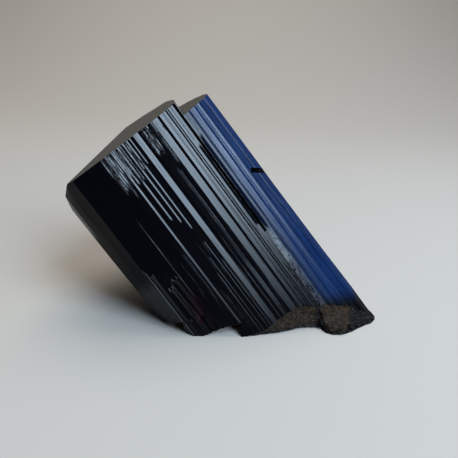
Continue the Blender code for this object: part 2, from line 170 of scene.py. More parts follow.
# Height of the broken lower edge above the ground along the front (x, height), by piece,
# and where one piece ends and the next begins.
EDGE_ENDS = (-11.05, -0.05)
EDGE_LEFT = ((-22.0, 0.3), (-14.9, 0.3), (-14.2, 0.6), (-12.2, 1.95), (-11.1, 2.75))
EDGE_LOBE = ((-11.0, 1.5), (-10.4, 0.3), (-8.6, 0.0), (-7.0, 0.0), (-4.7, 1.1),
             (-2.8, 2.0), (-0.1, 2.6))
EDGE_RIGHT = ((0.0, 0.0), (1.2, 0.0), (2.6, 0.5), (4.2, 0.9), (5.2, 1.2), (6.3, 2.2),
              (7.9, 3.1), (9.4, 4.0), (10.4, 4.45), (13.0, 4.5), (16.9, 4.1), (19.7, 3.55),
              (23.2, 3.0), (24.4, 2.2), (25.6, 1.0), (27.0, 0.5), (32.0, 0.5))
# Lower rim of the base behind the right-hand edge (x, height), and its width.
RIM = ((0.0, 0.0), (2.0, 0.0), (4.0, 0.1), (6.0, 0.2), (10.0, 0.25), (14.0, 0.3),
       (16.0, 0.4), (32.0, 0.4))
RIM_WIDTH = ((-0.1, 0.6), (1.0, 1.4), (3.0, 2.4), (16.0, 3.0))
# Broken face under that edge: how far it is set back at the top (x, depth), where its
# foot stands (x, y), and the ledge between (share of height, share of the way forward).
FACE_TOP = ((1.5, 0.2), (5.0, 0.3), (10.0, 0.5), (14.0, 0.5), (20.0, 0.3), (22.5, 0.1),
            (24.0, -0.6))
FACE_FOOT = ((1.5, 0.3), (3.0, 0.8), (5.1, 1.3), (7.5, 1.8), (10.1, 2.9), (11.7, 3.8),
             (13.7, 4.0), (15.3, 3.9), (17.0, 3.6), (24.6, 6.5))
FACE_LEDGE = ((0.0, 0.0), (0.42, 0.20), (0.50, 0.52), (0.82, 0.72), (1.0, 1.0))
FACE_COLUMNS = (1.5, 24.6, 0.22)
FACE_ROWS = 26
# How far the cutter reaches below the ground and forward.
FACE_BELOW = 1.5
FACE_FORWARD = 14.0
# Share of its roughness at the upper edge, and share of the height where it is full.
FACE_CALM = (0.35, 0.15)
# Roughness of the face: depth in mm, change per mm across and upward, and a seed.
FACE_GRAIN = ((0.26, 0.75, 0.9, 3.0), (0.12, 2.1, 2.4, 6.0))
FACE_EDGE_GRAIN = (0.10, 1.2, 8.0)
# Places where the base comes down: x, y, flat radius, height above the ground.
PADS = ((-7.9, -0.2, 0.9, 0.0), (0.7, 0.5, 0.7, 0.0), (-16.4, 13.0, 2.4, 0.0),
        (-8.6, 22.6, 2.4, 0.0), (8.5, 22.8, 2.2, 0.0), (19.6, 16.8, 1.5, 0.0),
        (-15.6, 6.6, 1.0, 0.2))
HOLLOW_DEPTH = 3.2
HOLLOW_REACH = 5.5
# Ripples of the hollow: depth in mm, change per mm.
WIDE_RIPPLE = (0.45, (0.45, 0.45, 0.0))
CLOSE_RIPPLE = (0.22, (1.3, 1.3, 0.0))
BROKEN_RIPPLE = (0.10, 0.9)
CHIPPED_RIM = (0.14, 1.1, 5.0)
# Lengths in mm over which ripples grow beside a pad, the rim turns into the hollow, and
# chips grow with the rim's height.
RIPPLE_GROWS = 1.5
RIM_SLOPE = 2.6
CHIPS_GROW = 0.8
# Columns and rows of the broken base: start, end, step; rows count from the front's line.
BREAK_X = (-27.0, 37.0, 0.4)
BREAK_STEPS_X = (-11.1, -11.0, -0.1, 0.0)
BREAK_BEFORE = (-9.0, -3.0)
BREAK_NEAR = (-1.0, 6.0, 0.22)
BREAK_FAR = (6.4, 32.0, 0.5)
BREAK_LAST = 36.0
BREAK_BOTTOM = -45.0
# Columns closer than this to a step in the edge are left out.
COLUMN_GAP = 0.15
# Height at which the front's line is taken, and how the line is found.
FRONT_LINE_HEIGHT = 0.6
FRONT_ROUNDS = 12
FRONT_STEP = 0.6

# Broken foot under the right-hand prism: outline on the ground, outline where it meets
# the prism, and how far inward each share of its height lies.
FOOT_GROUND = ((16.2, 7.0), (15.9, 5.2), (16.0, 3.8), (16.7, 2.7), (18.0, 2.2), (19.3, 2.35),
               (20.6, 2.8), (22.0, 3.6), (23.4, 4.7), (25.2, 6.0), (26.9, 7.0), (28.2, 8.6),
               (27.9, 10.4), (25.5, 12.2), (21.0, 13.1), (17.5, 11.7))
FOOT_TOP = ((15.6, 8.0, 3.3), (15.2, 6.9, 3.6), (15.4, 6.4, 3.9), (16.4, 6.8, 3.95),
            (17.8, 7.3, 3.75), (19.2, 7.8, 3.45), (20.6, 8.3, 3.25), (22.0, 8.8, 3.05),
            (23.2, 9.3, 2.8), (24.2, 9.9, 2.6), (24.8, 10.6, 2.4), (25.0, 11.5, 2.4),
            (24.6, 12.3, 2.4), (23.5, 12.7, 2.4), (20.5, 13.3, 2.7), (17.0, 11.7, 2.9))
# Middle of the foot on the ground and where it meets the prism.
FOOT_MIDDLE = (Vector((21.5, 8.5, 0.0)), Vector((20.5, 10.8, 0.0)))
FOOT_PROFILE = ((0.0, 0.0), (0.12, -0.02), (0.36, 0.05), (0.50, 0.20), (0.75, 0.60), (1.0, 1.0))
# Gap under the foot, so that its flat underside and the base never share a plane.
FOOT_GAP = 0.01
FOOT_ROWS = 40
FOOT_DIVISIONS = 14
# Share of the foot's height over which its roughness starts.
FOOT_STARTS = 0.10
# Roughness of the foot: depth in mm, change per mm.
FOOT_GRAIN = ((0.85, 0.33), (0.45, 0.9), (0.24, 2.2))
# Smallest distances between points, in mm: in a closed shape, after a boolean, at the end.
WELD = 1e-5
SLIVER = 0.002
FINAL_WELD = 0.001
# Edges that turn more than this, in degrees, are shaded as creases.
SHARP_ANGLE = 9.0

# Where the surface of the prisms changes, in mm from the chip: each pair is where a change
# begins and where it is full.
SIDE_SEAM = (16.2, 16.7)
NAVY_DEEPENS = (17.0, 18.6)
DEEP_BLUE = (20.5, 20.9)
RIGHT_EDGE = (21.5, 22.0)
LEFT_FLANK = (-6.2, -7.4)
LEFT_EDGE = (-10.6, -11.2)
REAR_BEGINS = (11.0, 16.0)
NAVY_ABOVE_GROUND = (4.4, 7.5)
THREADS_FADE = (24.0, 12.0)
SHINE_GROWS = (-4.0, 40.0)
LEFT_FLANK_DARKENS = (16.0, 20.0)
DEEP_BLUE_GROWS = (14.0, 30.0)
SIDE_TOP_DULLS = (30.0, 37.0)
# Areas of the front: from, to (across), fade, low, high (along), fade.
MAROON_GLOW = (-5.4, -1.5, 1.2, 5.0, 14.0, 3.0)
BLACK_BAND = (7.5, 9.75, 0.15, 8.0, 36.0, 4.0)
LOW_FRONT = (-4.5, 6.2, 0.8, 0.0, 24.0, 6.0)
PALE_STREAK = (15.7, 17.3, 0.4, -8.0, 14.0, 4.0)
# How much rougher a surface gets for each mm of pitting.
ETCH_DULLING = 8.0
# Dark parts of the broken base: the ways in which the foot's right and left are measured,
# where each turns dark (the right to the stone's black, the left flank as painted shade), how
# high the painted shade along the bottom reaches and where the slot's inside begins, painted
# black as shade.
FOOT_RIGHT_WAY = (1.0, 0.0, -0.85)
FOOT_RIGHT_DARK = (20.8, 21.6)
FOOT_LEFT_WAY = (1.0, 0.0, 0.7)
FOOT_LEFT_PAINTED_SHADE = (18.9, 18.1)
FOOT_BEGINS = (14.4, 15.2)
LOW_PAINTED_SHADE = (1.5, 0.6)
SLOT_PAINTED_SHADE = (8.0, 10.0)

# Studio, in metres: what the lights aim at, and each light's azimuth and elevation in
# degrees, distance, width and height, and colour.
LIGHT_TARGET = Vector((0.0, 0.0, 0.02))
KEY_LIGHT = (-40.0, 42.0, 0.42, (0.21, 0.42), (0.62, 0.80, 1.0))
SIDE_LIGHT = (18.0, 38.0, 0.55, (0.42, 0.30), (0.40, 0.62, 1.0))
TOP_LIGHT = (100.0, 68.0, 0.80, (0.6, 0.5), (1.0, 0.97, 0.92))
WORLD_COLOUR = (0.50, 0.56, 0.66, 1.0)
WORLD_STRENGTH = 0.03
# Floor: half its width, front edge, depth to the sweep, and radius and rows of the sweep.
FLOOR_HALF_WIDTH = 2.4
FLOOR_FRONT = -1.2
FLOOR_DEPTH = 1.45
SWEEP_RADIUS = 0.5
SWEEP_ROWS = 20

# Camera: place from the chip in mm, its axes in the frame, and field of view.
CAMERA_AT = Vector((-3.42, -64.84, 47.98))
CAMERA_RIGHT = Vector((0.99847, 0.02057, 0.05131))
CAMERA_UP = Vector((-0.05528, 0.37164, 0.92673))
FOCAL_PIXELS = 410.0
FRAME_PIXELS = 458.0
SENSOR_WIDTH = 36.0


class CrystalLook(bpy.types.PropertyGroup):
    """Sizes and colours of the crystal."""

    rib_depth: bpy.props.FloatProperty(
        name="Fine rib depth", description="Depth of the finest lengthwise ribs",
        default=FINE_RIB_DEPTH * MM, min=0.0, unit="LENGTH")
    black: bpy.props.FloatVectorProperty(
        name="Black", description="Body colour of the main prism",
        default=(0.0018, 0.0018, 0.0034), size=3, min=0.0, max=1.0, subtype="COLOR")
    # Dark blue tint of the second prism together with a painted blue reflection.
    navy_and_blue_reflection: bpy.props.FloatVectorProperty(
        name="Navy", description="Body colour of the second prism",
        default=(0.006, 0.032, 0.125), size=3, min=0.0, max=1.0, subtype="COLOR")
    maroon: bpy.props.FloatVectorProperty(
        name="Maroon", description="Faint red glow deep in the front",
        default=(0.030, 0.004, 0.012), size=3, min=0.0, max=1.0, subtype="COLOR")
    growth_end: bpy.props.FloatVectorProperty(
        name="Growth end", description="Colour of the dull growth ends",
        default=(0.085, 0.076, 0.060), size=3, min=0.0, max=1.0, subtype="COLOR")
    # Brown of the broken stone together with a painted reflection of a wooden floor.
    broken: bpy.props.FloatVectorProperty(
        name="Broken stone", description="Colour of the broken base",
        default=(0.064, 0.038, 0.019), size=3, min=0.0, max=1.0, subtype="COLOR")


class StudioLook(bpy.types.PropertyGroup):
    """Floor and light of the studio."""

    floor: bpy.props.FloatVectorProperty(
        name="Floor", description="Colour of the floor and backdrop",
        default=(0.72, 0.655, 0.575), size=3, min=0.0, max=1.0, subtype="COLOR")
    key: bpy.props.FloatProperty(
        name="Key light", description="Power of the light at the upper right",
        default=1.9, min=0.0, unit="POWER")
    blue: bpy.props.FloatProperty(
        name="Side light", description="Power of the cool light at the right and behind",
        default=0.3, min=0.0, unit="POWER")
    fill: bpy.props.FloatProperty(
        name="Top light", description="Power of the light overhead",
        default=3.1, min=0.0, unit="POWER")


def along(points, value):
    """Value read off a line of (position, value) points."""
    if value <= points[0][0]:
        return points[0][1]
    for (x0, y0), (x1, y1) in zip(points, points[1:]):
        if value <= x1:
            return y0 + (y1 - y0) * (value - x0) / (x1 - x0)
    return points[-1][1]


def smooth(value):
    """Ease from 0 to 1."""
    value = min(1.0, max(0.0, value))
    return value * value * (3.0 - 2.0 * value)


def seeded(x, y, kind, shift=0.0):
    """Noise at a place, by how fast it changes each way and its own number."""
    fast_x, fast_y, seed = kind
    return noise.noise(Vector((x * fast_x, y * fast_y + shift, SEED + seed)))


def facet_breaks(outline, facets):
    """Ends of the facets and corners of the outline: across, rise, low, high."""
    breaks = [(x, 0.0, *ALL) for x, y in outline
              if all(not f[0] <= x <= f[1] for f in facets)]
    for start, end, turn, low, high in facets:
        half = 0.5 * (end - start)
        slope = (along(outline, end) - along(outline, start)) / (end - start)
        rise = half * (math.tan(math.radians(turn)) - slope)
        breaks.append((start, -rise, low, high))
        breaks.append((end, rise, low, high))
        if turn < 0.0:
            breaks.append((start - RETURN_WIDTH, 0.0, low, high))
            breaks.append((end + RETURN_WIDTH, 0.0, low, high))
    breaks.sort()
    return breaks


def front_ribs(outline, facets):
    """Ribs of the front, each facet end kept and wide stretches divided."""
    breaks = facet_breaks(outline, facets)
    ribs = []
    for (x0, *shape0), (x1, *shape1) in zip(breaks, breaks[1:]):
        run = math.hypot(x1 - x0, along(outline, x1) - along(outline, x0))
        count = max(1, round(run / RIB_STEP))
        for index in range(count):
            part = index / count
            x = x0 + (x1 - x0) * part
            ribs.append({"x": x, "y": along(outline, x), "out": (0.0, -1.0),
                         "ends": ((1.0 - part, shape0), (part, shape1)),
                         "fine": CREASE_FINE if index == 0 else 1.0, "front": True})
    x, *shape = breaks[-1]
    ribs.append({"x": x, "y": along(outline, x), "out": (0.0, -1.0), "ends": ((1.0, shape),),
                 "fine": CREASE_FINE, "front": True})
    return ribs


def rear_ribs(points, rng, hidden=0):
    """Ribs of the unseen sides, in facets of uneven width, the last hidden ones plain."""
    ribs = []
    for side, ((x0, y0), (x1, y1)) in enumerate(zip(points, points[1:])):
        length = math.hypot(x1 - x0, y1 - y0)
        out = ((y1 - y0) / length, -(x1 - x0) / length)
        if side >= len(points) - hidden - 1:
            ribs.append({"x": x0, "y": y0, "out": out, "ends": (), "fine": 0.0, "front": False})
            continue
        place = 0.0
        step = 0.0
        while place < length - SHORTEST_FACET:
            width = min(rng.choice(REAR_WIDTHS) * rng.uniform(0.8, 1.2), length - place)
            count = max(1, round(width / REAR_RIB_STEP))
            rise = rng.uniform(-REAR_RISE, REAR_RISE)
            for index in range(count):
                at = (place + width * index / count) / length
                level = step + (rise - step) * index / count
                ribs.append({"x": x0 + (x1 - x0) * at, "y": y0 + (y1 - y0) * at, "out": out,
                             "ends": ((1.0, (level, *ALL)),), "fine": 1.0, "front": False})
            place += width
            step = rise if rng.random() < 0.5 else rng.uniform(-REAR_RISE, REAR_RISE)
    return ribs


def etch_depth(x, station):
    """Depth of the pitting at a place on the front."""
    depth = 0.0
    fade, fade_along = PATCH_FADE
    for start, end, low, high, amount in ETCHED:
        inside = min(smooth((x - start) / fade), smooth((end - x) / fade),
                     smooth((station - low) / fade_along), smooth((high - station) / fade_along))
        depth = max(depth, amount * inside)
    return depth


def rib_place(rib, index, station, fade, fine_depth):
    """Place of one rib at one height along the crystal."""
    rise = 0.0
    for share, (level, low, high) in rib["ends"]:
        shown = smooth((station - low) / FACET_FADE) * smooth((high - station) / FACET_FADE)
        rise += share * level * shown
    rise *= 1.0 + RISE_DRIFT * seeded(index, station, RIB_DRIFT, fade)
    fine = seeded(index, station, RIB_WAVE) + 0.5 * seeded(index, station, RIB_RIPPLE)
    bulge = -fine * fine_depth * rib["fine"]
    x = rib["x"]
    y = rib["y"]
    if rib["front"]:
        share, reach = CALM_LEFT
        bulge *= share + (1.0 - share) * smooth(x / reach)
        etch = etch_depth(x, station)
        if etch > 0.0:
            bulge -= etch * (seeded(x, station, WIDE_PITS) + 0.7 * seeded(x, station, CLOSE_PITS))
        y += rise
        left, right = LOBE_SPAN
        under_crack = smooth((along(CRACK, x) - station) / CRACK_FADE)
        setback = LOBE_SETBACK * under_crack
        y += setback * smooth((x - left) / LOBE_FADE) * smooth((right - x) / LOBE_FADE)
    else:
        x += rib["out"][0] * rise
        y += rib["out"][1] * rise
    x += rib["out"][0] * bulge
    y += rib["out"][1] * bulge
    x += along(LEFT_TAPER, station) * smooth((LEFT_REACH[0] - x) / LEFT_REACH[1])
    x += along(RIGHT_SPREAD, station) * smooth((x - RIGHT_REACH[0]) / RIGHT_REACH[1])
    return Vector((x, y, station))


def close_tube(bm):
    """Join the seam of a rolled-up grid and close its ends."""
    bmesh.ops.remove_doubles(bm, verts=bm.verts, dist=WELD)
    bmesh.ops.holes_fill(bm, edges=[e for e in bm.edges if e.is_boundary], sides=0)
    bmesh.ops.recalc_face_normals(bm, faces=bm.faces)


def ribbed_prism(ribs, fine_depth, rng):
    """Closed prism with ribs along its length, from a sheet rolled up and capped."""
    low, high = ROW_RANGE
    rows = round((high - low) / ROW_STEP)
    count = len(ribs)
    bm = bmesh.new()
    bmesh.ops.create_grid(bm, x_segments=count, y_segments=rows, size=1.0)
    fades = [rng.uniform(-3.0, 3.0) * 0.15 for _ in ribs]
    for vert in bm.verts:
        index = round((vert.co.x + 1.0) * 0.5 * count) % count
        row = round((vert.co.y + 1.0) * 0.5 * rows)
        station = low + (high - low) * row / rows
        vert.co = rib_place(ribs[index], index, station, fades[index], fine_depth)
    close_tube(bm)
    return bm


def cut_above(bm, point, normal, material_index):
    """Cut off everything beyond a plane and close the cut with one material."""
    cut = bmesh.ops.bisect_plane(bm, geom=[*bm.verts, *bm.edges, *bm.faces], plane_co=point,
                                 plane_no=normal, clear_outer=True, dist=WELD)["geom_cut"]
    edges = [g for g in cut if isinstance(g, bmesh.types.BMEdge)]
    made = bmesh.ops.contextual_create(bm, geom=edges)["faces"]
    for face in made:
        face.material_index = material_index
    bmesh.ops.recalc_face_normals(bm, faces=bm.faces)


def top_plane(top):
    """Point and normal of a growth end."""
    height, slope_x, slope_y = top
    return Vector((0.0, 0.0, height)), Vector((-slope_x, -slope_y, 1.0)).normalized()


def lie_down(bm):
    """Turn from the crystal's own axes to the way it lies, chip at the origin."""
    matrix = Matrix((ACROSS, DEPTH, LENGTH)).transposed().to_4x4()
    bmesh.ops.transform(bm, matrix=matrix, verts=bm.verts)


def make_object(name, bm, materials):
    """Turn a bmesh into an object with its materials."""
    mesh = bpy.data.meshes.new(name)
    bm.to_mesh(mesh)
    bm.free()
    for material in materials:
        mesh.materials.append(material)
    result = bpy.data.objects.new(name, mesh)
    bpy.context.scene.collection.objects.link(result)
    return result


def main_prism(materials, fine_depth, rng):
    """Thick prism with its sloping end and the bevel at the back left."""
    rear = rear_ribs([MAIN_FRONT[-1], *MAIN_REAR, MAIN_FRONT[0]], rng)[1:]
    bm = ribbed_prism(front_ribs(MAIN_FRONT, MAIN_FACETS) + rear, fine_depth, rng)
    cut_above(bm, *top_plane(MAIN_TOP), 1)
    a, b, c = BEVEL_POINTS
    normal = (b - a).cross(c - a).normalized()
    cut_above(bm, a, normal if normal.z > 0.0 else -normal, 1)
    lie_down(bm)
    return make_object("crystal", bm, materials)


def side_prism(materials, fine_depth, rng):
    """Second prism on the right, ending a step lower."""
    rear = rear_ribs([SIDE_FRONT[-1], *SIDE_REAR, SIDE_FRONT[0]], rng, SIDE_HIDDEN)[1:]
    bm = ribbed_prism(front_ribs(SIDE_FRONT, SIDE_FACETS) + rear, fine_depth, rng)
    cut_above(bm, *top_plane(SIDE_TOP), 1)
    lie_down(bm)
    return make_object("side_prism", bm, materials)


def break_edge(x):
    """Height of the broken lower edge of the front."""
    if x < EDGE_ENDS[0]:
        return along(EDGE_LEFT, x)
    if x < EDGE_ENDS[1]:
        return along(EDGE_LOBE, x)
    return along(EDGE_RIGHT, x)


def crumble(place):
    """Angular roughness of broken stone, about -1 to 1."""
    near, far = noise.voronoi(place)[0][:2]
    return 0.9 * (far - near) - 0.4 + 0.5 * noise.noise(place * 2.3)


def front_y(x, z):
    """Where the front of the prisms stands at a place across and a height."""
    outline = MAIN_FRONT + SIDE_FRONT[1:]
    y = 0.0
    for _ in range(FRONT_ROUNDS):
        place = Vector((x, y, z))
        y += FRONT_STEP * (along(outline, ACROSS.dot(place)) - DEPTH.dot(place)) / DEPTH.y
    return y


def break_height(x, y, line):
    """Height of the broken base above the ground, line being the front's place at x."""
    rim = break_edge(x)
    if x > EDGE_ENDS[1]:
        rim = min(rim, along(RIM, x))
    hollow = HOLLOW_DEPTH
    ripple = 0.0
    for depth, kind in (WIDE_RIPPLE, CLOSE_RIPPLE):
        ripple += depth * seeded(x, y, kind)
    depth, fast = BROKEN_RIPPLE
    ripple += depth * crumble(Vector((x * fast, y * fast, SEED)))
    for pad_x, pad_y, radius, lift in PADS:
        away = max(0.0, math.hypot(x - pad_x, y - pad_y) - radius)
        rise = HOLLOW_DEPTH * (1.0 - math.exp(-(away / HOLLOW_REACH) ** 2))
        hollow = min(hollow, lift + max(0.0, rise + ripple * min(1.0, away / RIPPLE_GROWS)))
    inner = smooth((y - line - along(RIM_WIDTH, x)) / RIM_SLOPE)
    depth, fast, seed = CHIPPED_RIM
    chipped = depth * crumble(Vector((x * fast, y * fast, seed))) * smooth(rim / CHIPS_GROW)
    return max(0.0, rim + chipped + (hollow - rim - chipped) * inner)


def steps(start, end, step):
    """Even steps from start to end."""
    count = round((end - start) / step)
    return [start + (end - start) * index / count for index in range(count + 1)]


def extrude_sheet(bm, move):
    """Make a closed block of a sheet by extruding it and moving the new side."""
    made = bmesh.ops.extrude_face_region(bm, geom=list(bm.faces))["geom"]
    for vert in (v for v in made if isinstance(v, bmesh.types.BMVert)):
        move(vert)
    bmesh.ops.recalc_face_normals(bm, faces=bm.faces)


def sheet(columns, rows, place):
    """Grid whose points come from a function of column and row."""
    bm = bmesh.new()
    bmesh.ops.create_grid(bm, x_segments=len(columns) - 1, y_segments=len(rows) - 1, size=1.0)
    for vert in bm.verts:
        column = columns[round((vert.co.x + 1.0) * 0.5 * (len(columns) - 1))]
        row = rows[round((vert.co.y + 1.0) * 0.5 * (len(rows) - 1))]
        vert.co = place(column, row)
    return bm


def break_cutter(material):
    """Block whose upper side is the broken base."""
    columns = [x for x in steps(*BREAK_X) if all(abs(x - s) > COLUMN_GAP for s in BREAK_STEPS_X)]
    columns = sorted([*columns, *BREAK_STEPS_X])
    lines = {x: front_y(x, min(break_edge(x), FRONT_LINE_HEIGHT)) for x in columns}
    rows = [*BREAK_BEFORE, *steps(*BREAK_NEAR), *steps(*BREAK_FAR), BREAK_LAST]

    def place(x, row):
        return x, lines[x] + row, break_height(x, lines[x] + row, lines[x])

    bm = sheet(columns, rows, place)

    def drop(vert):
        vert.co.z = BREAK_BOTTOM

    extrude_sheet(bm, drop)
    return make_object("cut_break", bm, [material])


def face_cutter(material):
    """Block whose rear side is the broken face under the right-hand edge."""
    def place(x, down):
        depth, fast, seed = FACE_EDGE_GRAIN
        edge = along(EDGE_RIGHT, x) + depth * crumble(Vector((x * fast, 0.0, seed)))
        z = edge - down * (edge + FACE_BELOW)
        share = min(1.0, max(0.0, (edge - z) / max(edge, 0.5)))
        top = front_y(x, edge) + along(FACE_TOP, x)
        rough = sum(depth * crumble(Vector((x * fast_x, z * fast_z, seed)))
                    for depth, fast_x, fast_z, seed in FACE_GRAIN)
        calm, full = FACE_CALM
        rough *= calm + (1.0 - calm) * smooth(share / full)
        y = top + (along(FACE_FOOT, x) - top) * along(FACE_LEDGE, share) + rough
        return x, y, z

    bm = sheet(steps(*FACE_COLUMNS), steps(0.0, 1.0, 1.0 / FACE_ROWS), place)

    def forward(vert):
        vert.co.y -= FACE_FORWARD

    extrude_sheet(bm, forward)
    return make_object("cut_face", bm, [material])


def groove_cutter(material):
    """Narrow block along the seam between the prisms."""
    x, y, half, deep, low, high = GROOVE
    size = (2.0 * half, 2.0 * deep, high - low, 1.0)
    bm = bmesh.new()
    bmesh.ops.create_cube(bm, size=1.0)
    place = (Matrix.Translation((x, y, 0.5 * (low + high)))
             @ Matrix.Rotation(math.radians(GROOVE_TURN), 4, "Z") @ Matrix.Diagonal(size))
    bmesh.ops.transform(bm, matrix=place, verts=bm.verts)
    lie_down(bm)
    return make_object("cut_groove", bm, [material])


def notch_cutter(material):
    """Block that makes the slot in the right-hand edge."""
    middle, size, lean = NOTCH
    bm = bmesh.new()
    bmesh.ops.create_cube(bm, size=1.0)
    place = (Matrix.Translation(middle) @ Matrix.Rotation(math.radians(lean), 4, "X")
             @ Matrix.Diagonal((*size, 1.0)))
    bmesh.ops.transform(bm, matrix=place, verts=bm.verts)
    return make_object("cut_notch", bm, [material])


def around(points, index, divisions):
    """Point on a closed outline, between two of its corners."""
    corner, part = divmod(index, divisions)
    first = Vector(points[corner % len(points)])
    return first.lerp(Vector(points[(corner + 1) % len(points)]), part / divisions)


def broken_foot(material):
    """Broken foot under the right-hand prism, flat where it touches the ground."""
    count = len(FOOT_GROUND) * FOOT_DIVISIONS
    bm = bmesh.new()
    bmesh.ops.create_grid(bm, x_segments=count, y_segments=FOOT_ROWS, size=1.0)
    for vert in bm.verts:
        index = round((vert.co.x + 1.0) * 0.5 * count) % count
        share = (vert.co.y + 1.0) * 0.5
        ground = around(FOOT_GROUND, index, FOOT_DIVISIONS).to_3d()
        top = around(FOOT_TOP, index, FOOT_DIVISIONS)
        inward = along(FOOT_PROFILE, share)
        place = ground.lerp(top, inward)
        place.z = FOOT_GAP + top.z * share
        out = place - FOOT_MIDDLE[0].lerp(FOOT_MIDDLE[1], inward)
        out = Vector((out.x, out.y, 0.0)).normalized()
        rough = sum(depth * crumble(place * fast) for depth, fast in FOOT_GRAIN)
        fade = smooth(share / FOOT_STARTS) * (1.0 - 0.7 * smooth((share - 0.75) / 0.25))
        vert.co = place + out * rough * fade
    close_tube(bm)
    return make_object("foot", bm, [material])


def boolean(target, other, operation, crossings=False):
    """Apply one boolean, remove the other object and merge the slivers that it leaves.

    With crossings, it also sorts out faces of either object that cross one another.
    """
    modifier = target.modifiers.new(operation.lower(), "BOOLEAN")
    modifier.operation = operation
    modifier.solver = "EXACT"
    modifier.use_self = crossings
    modifier.material_mode = "TRANSFER"
    modifier.object = other
    bpy.context.view_layer.update()
    evaluated = target.evaluated_get(bpy.context.evaluated_depsgraph_get())
    mesh = bpy.data.meshes.new_from_object(evaluated)
    old = target.data
    if len(mesh.polygons) < 0.5 * len(old.polygons):
        raise RuntimeError("the boolean lost most of the crystal")
    target.modifiers.clear()
    target.data = mesh
    bpy.data.meshes.remove(old)
    bpy.data.objects.remove(other, do_unlink=True)
    bm = bmesh.new()
    bm.from_mesh(mesh)
    bmesh.ops.remove_doubles(bm, verts=bm.verts, dist=SLIVER)
    bmesh.ops.dissolve_degenerate(bm, edges=bm.edges, dist=SLIVER)
    bm.to_mesh(mesh)
    bm.free()


def finish_crystal(crystal):
    """Keep it inside the frame's box, in metres, with creases where facets meet."""
    bm = bmesh.new()
    bm.from_mesh(crystal.data)
    bmesh.ops.remove_doubles(bm, verts=bm.verts, dist=FINAL_WELD)
    bmesh.ops.translate(bm, vec=CHIP_AT, verts=bm.verts)
    bmesh.ops.scale(bm, vec=(MM, MM, MM), verts=bm.verts)
    low, high = CAD_BOX
    for vert in bm.verts:
        vert.co = [min(max(c, a), b) for c, a, b in zip(vert.co, low, high)]
    bmesh.ops.triangulate(bm, faces=[f for f in bm.faces if len(f.verts) > 4])
    for face in bm.faces:
        face.smooth = True
    for edge in bm.edges:
        edge.smooth = edge.calc_face_angle(0.0) < math.radians(SHARP_ANGLE)
    bm.to_mesh(crystal.data)
    bm.free()


class Value:
    """A node socket that can be used in sums."""

    def __init__(self, shader, socket):
        self.shader = shader
        self.socket = socket

    def math(self, operation, *others):
        """One Math node on this value and others."""
        inputs = {index: value for index, value in enumerate((self, *others))}
        return self.shader.add("ShaderNodeMath", {"operation": operation}, inputs)

    def __add__(self, other):
        return self.math("ADD", other)

    __radd__ = __add__

    def __rsub__(self, other):
        return self.shader.add("ShaderNodeMath", {"operation": "SUBTRACT"}, {0: other, 1: self})

    def __mul__(self, other):
        return self.math("MULTIPLY", other)

    __rmul__ = __mul__

    def ramp(self, low, high, to_low=0.0, to_high=1.0):
        """Smooth step of this value from low to high."""
        inputs = {"Value": self, "From Min": low, "From Max": high, "To Min": to_low,
                  "To Max": to_high}
        return self.shader.add("ShaderNodeMapRange", {"interpolation_type": "SMOOTHSTEP"}, inputs)

    def within(self, low, high, edge):
        """1 between low and high, fading over edge."""
        return self.ramp(low, low + edge) * self.ramp(high - edge, high, 1.0, 0.0)


class Shader:
    """A material whose nodes are added one by one."""

    def __init__(self, name):
        self.material = bpy.data.materials.new(name)
        self.material.use_nodes = True
        self.tree = self.material.node_tree
        self.tree.nodes.clear()

    def add(self, kind, settings=None, inputs=None, output=0):
        """Add a node: settings first, then values or links of its inputs."""
        node = self.tree.nodes.new(kind)
        for name, value in (settings or {}).items():
            setattr(node, name, value)
        for name, value in (inputs or {}).items():
            if isinstance(value, Value):
                self.tree.links.new(value.socket, node.inputs[name])
            else:
                node.inputs[name].default_value = value
        return Value(self, node.outputs[output])

    def measure(self, *axes):
        """How far a surface point lies from the chip along each axis, in mm."""
        place = self.add("ShaderNodeTexCoord", output=3)
        offset = self.add("ShaderNodeVectorMath", {"operation": "SUBTRACT"},
                          {0: place, 1: CHIP_AT * MM})
        return [self.add("ShaderNodeVectorMath", {"operation": "DOT_PRODUCT"},
                         {0: offset, 1: Vector(axis) / MM}, output=1) for axis in axes]

    def crystal_place(self):
        """Across, depth and length of a surface point in the crystal's axes, in mm."""
        return self.measure(ACROSS, DEPTH, LENGTH)

    def vector(self, x, y, z):
        """Vector from three values."""
        return self.add("ShaderNodeCombineXYZ", None, {0: x, 1: y, 2: z})

    def noise(self, place, scale, detail=3.0, roughness=0.5):
        """Noise from 0 to 1."""
        return self.add("ShaderNodeTexNoise", None,
                        {"Vector": place, "Scale": scale, "Detail": detail,
                         "Roughness": roughness})

    def mix(self, factor, first, second):
        """Blend two colours."""
        inputs = {"Factor": factor, "A": first, "B": second}
        node = self.tree.nodes.new("ShaderNodeMix")
        node.data_type = "RGBA"
        for name, value in inputs.items():
            socket = next(s for s in node.inputs if s.name == name and s.enabled)
            if isinstance(value, Value):
                self.tree.links.new(value.socket, socket)
            else:
                socket.default_value = value
        return Value(self, next(s for s in node.outputs if s.enabled))

    def bump(self, height, strength, distance, normal=None):
        """Bump from a height."""
        inputs = {"Height": height, "Strength": strength, "Distance": distance}
        if normal is not None:
            inputs["Normal"] = normal
        return self.add("ShaderNodeBump", None, inputs)

    def blend(self, factor, first, second):
        """Blend two surfaces."""
        return self.add("ShaderNodeMixShader", None, {0: factor, 1: first, 2: second})

    def principled(self, **inputs):
        """Principled surface with the stone's index of refraction."""
        values = {name.replace("_", " "): value for name, value in inputs.items()}
        return self.add("ShaderNodeBsdfPrincipled", None, {"IOR": 1.64, **values})

    def output(self, surface):
        """Send a surface to the output and return the material."""
        end = self.tree.nodes.new("ShaderNodeOutputMaterial")
        self.tree.links.new(surface.socket, end.inputs["Surface"])
        return self.material


def rgba(colour):
    """Colour with full alpha."""
    return (*colour, 1.0)


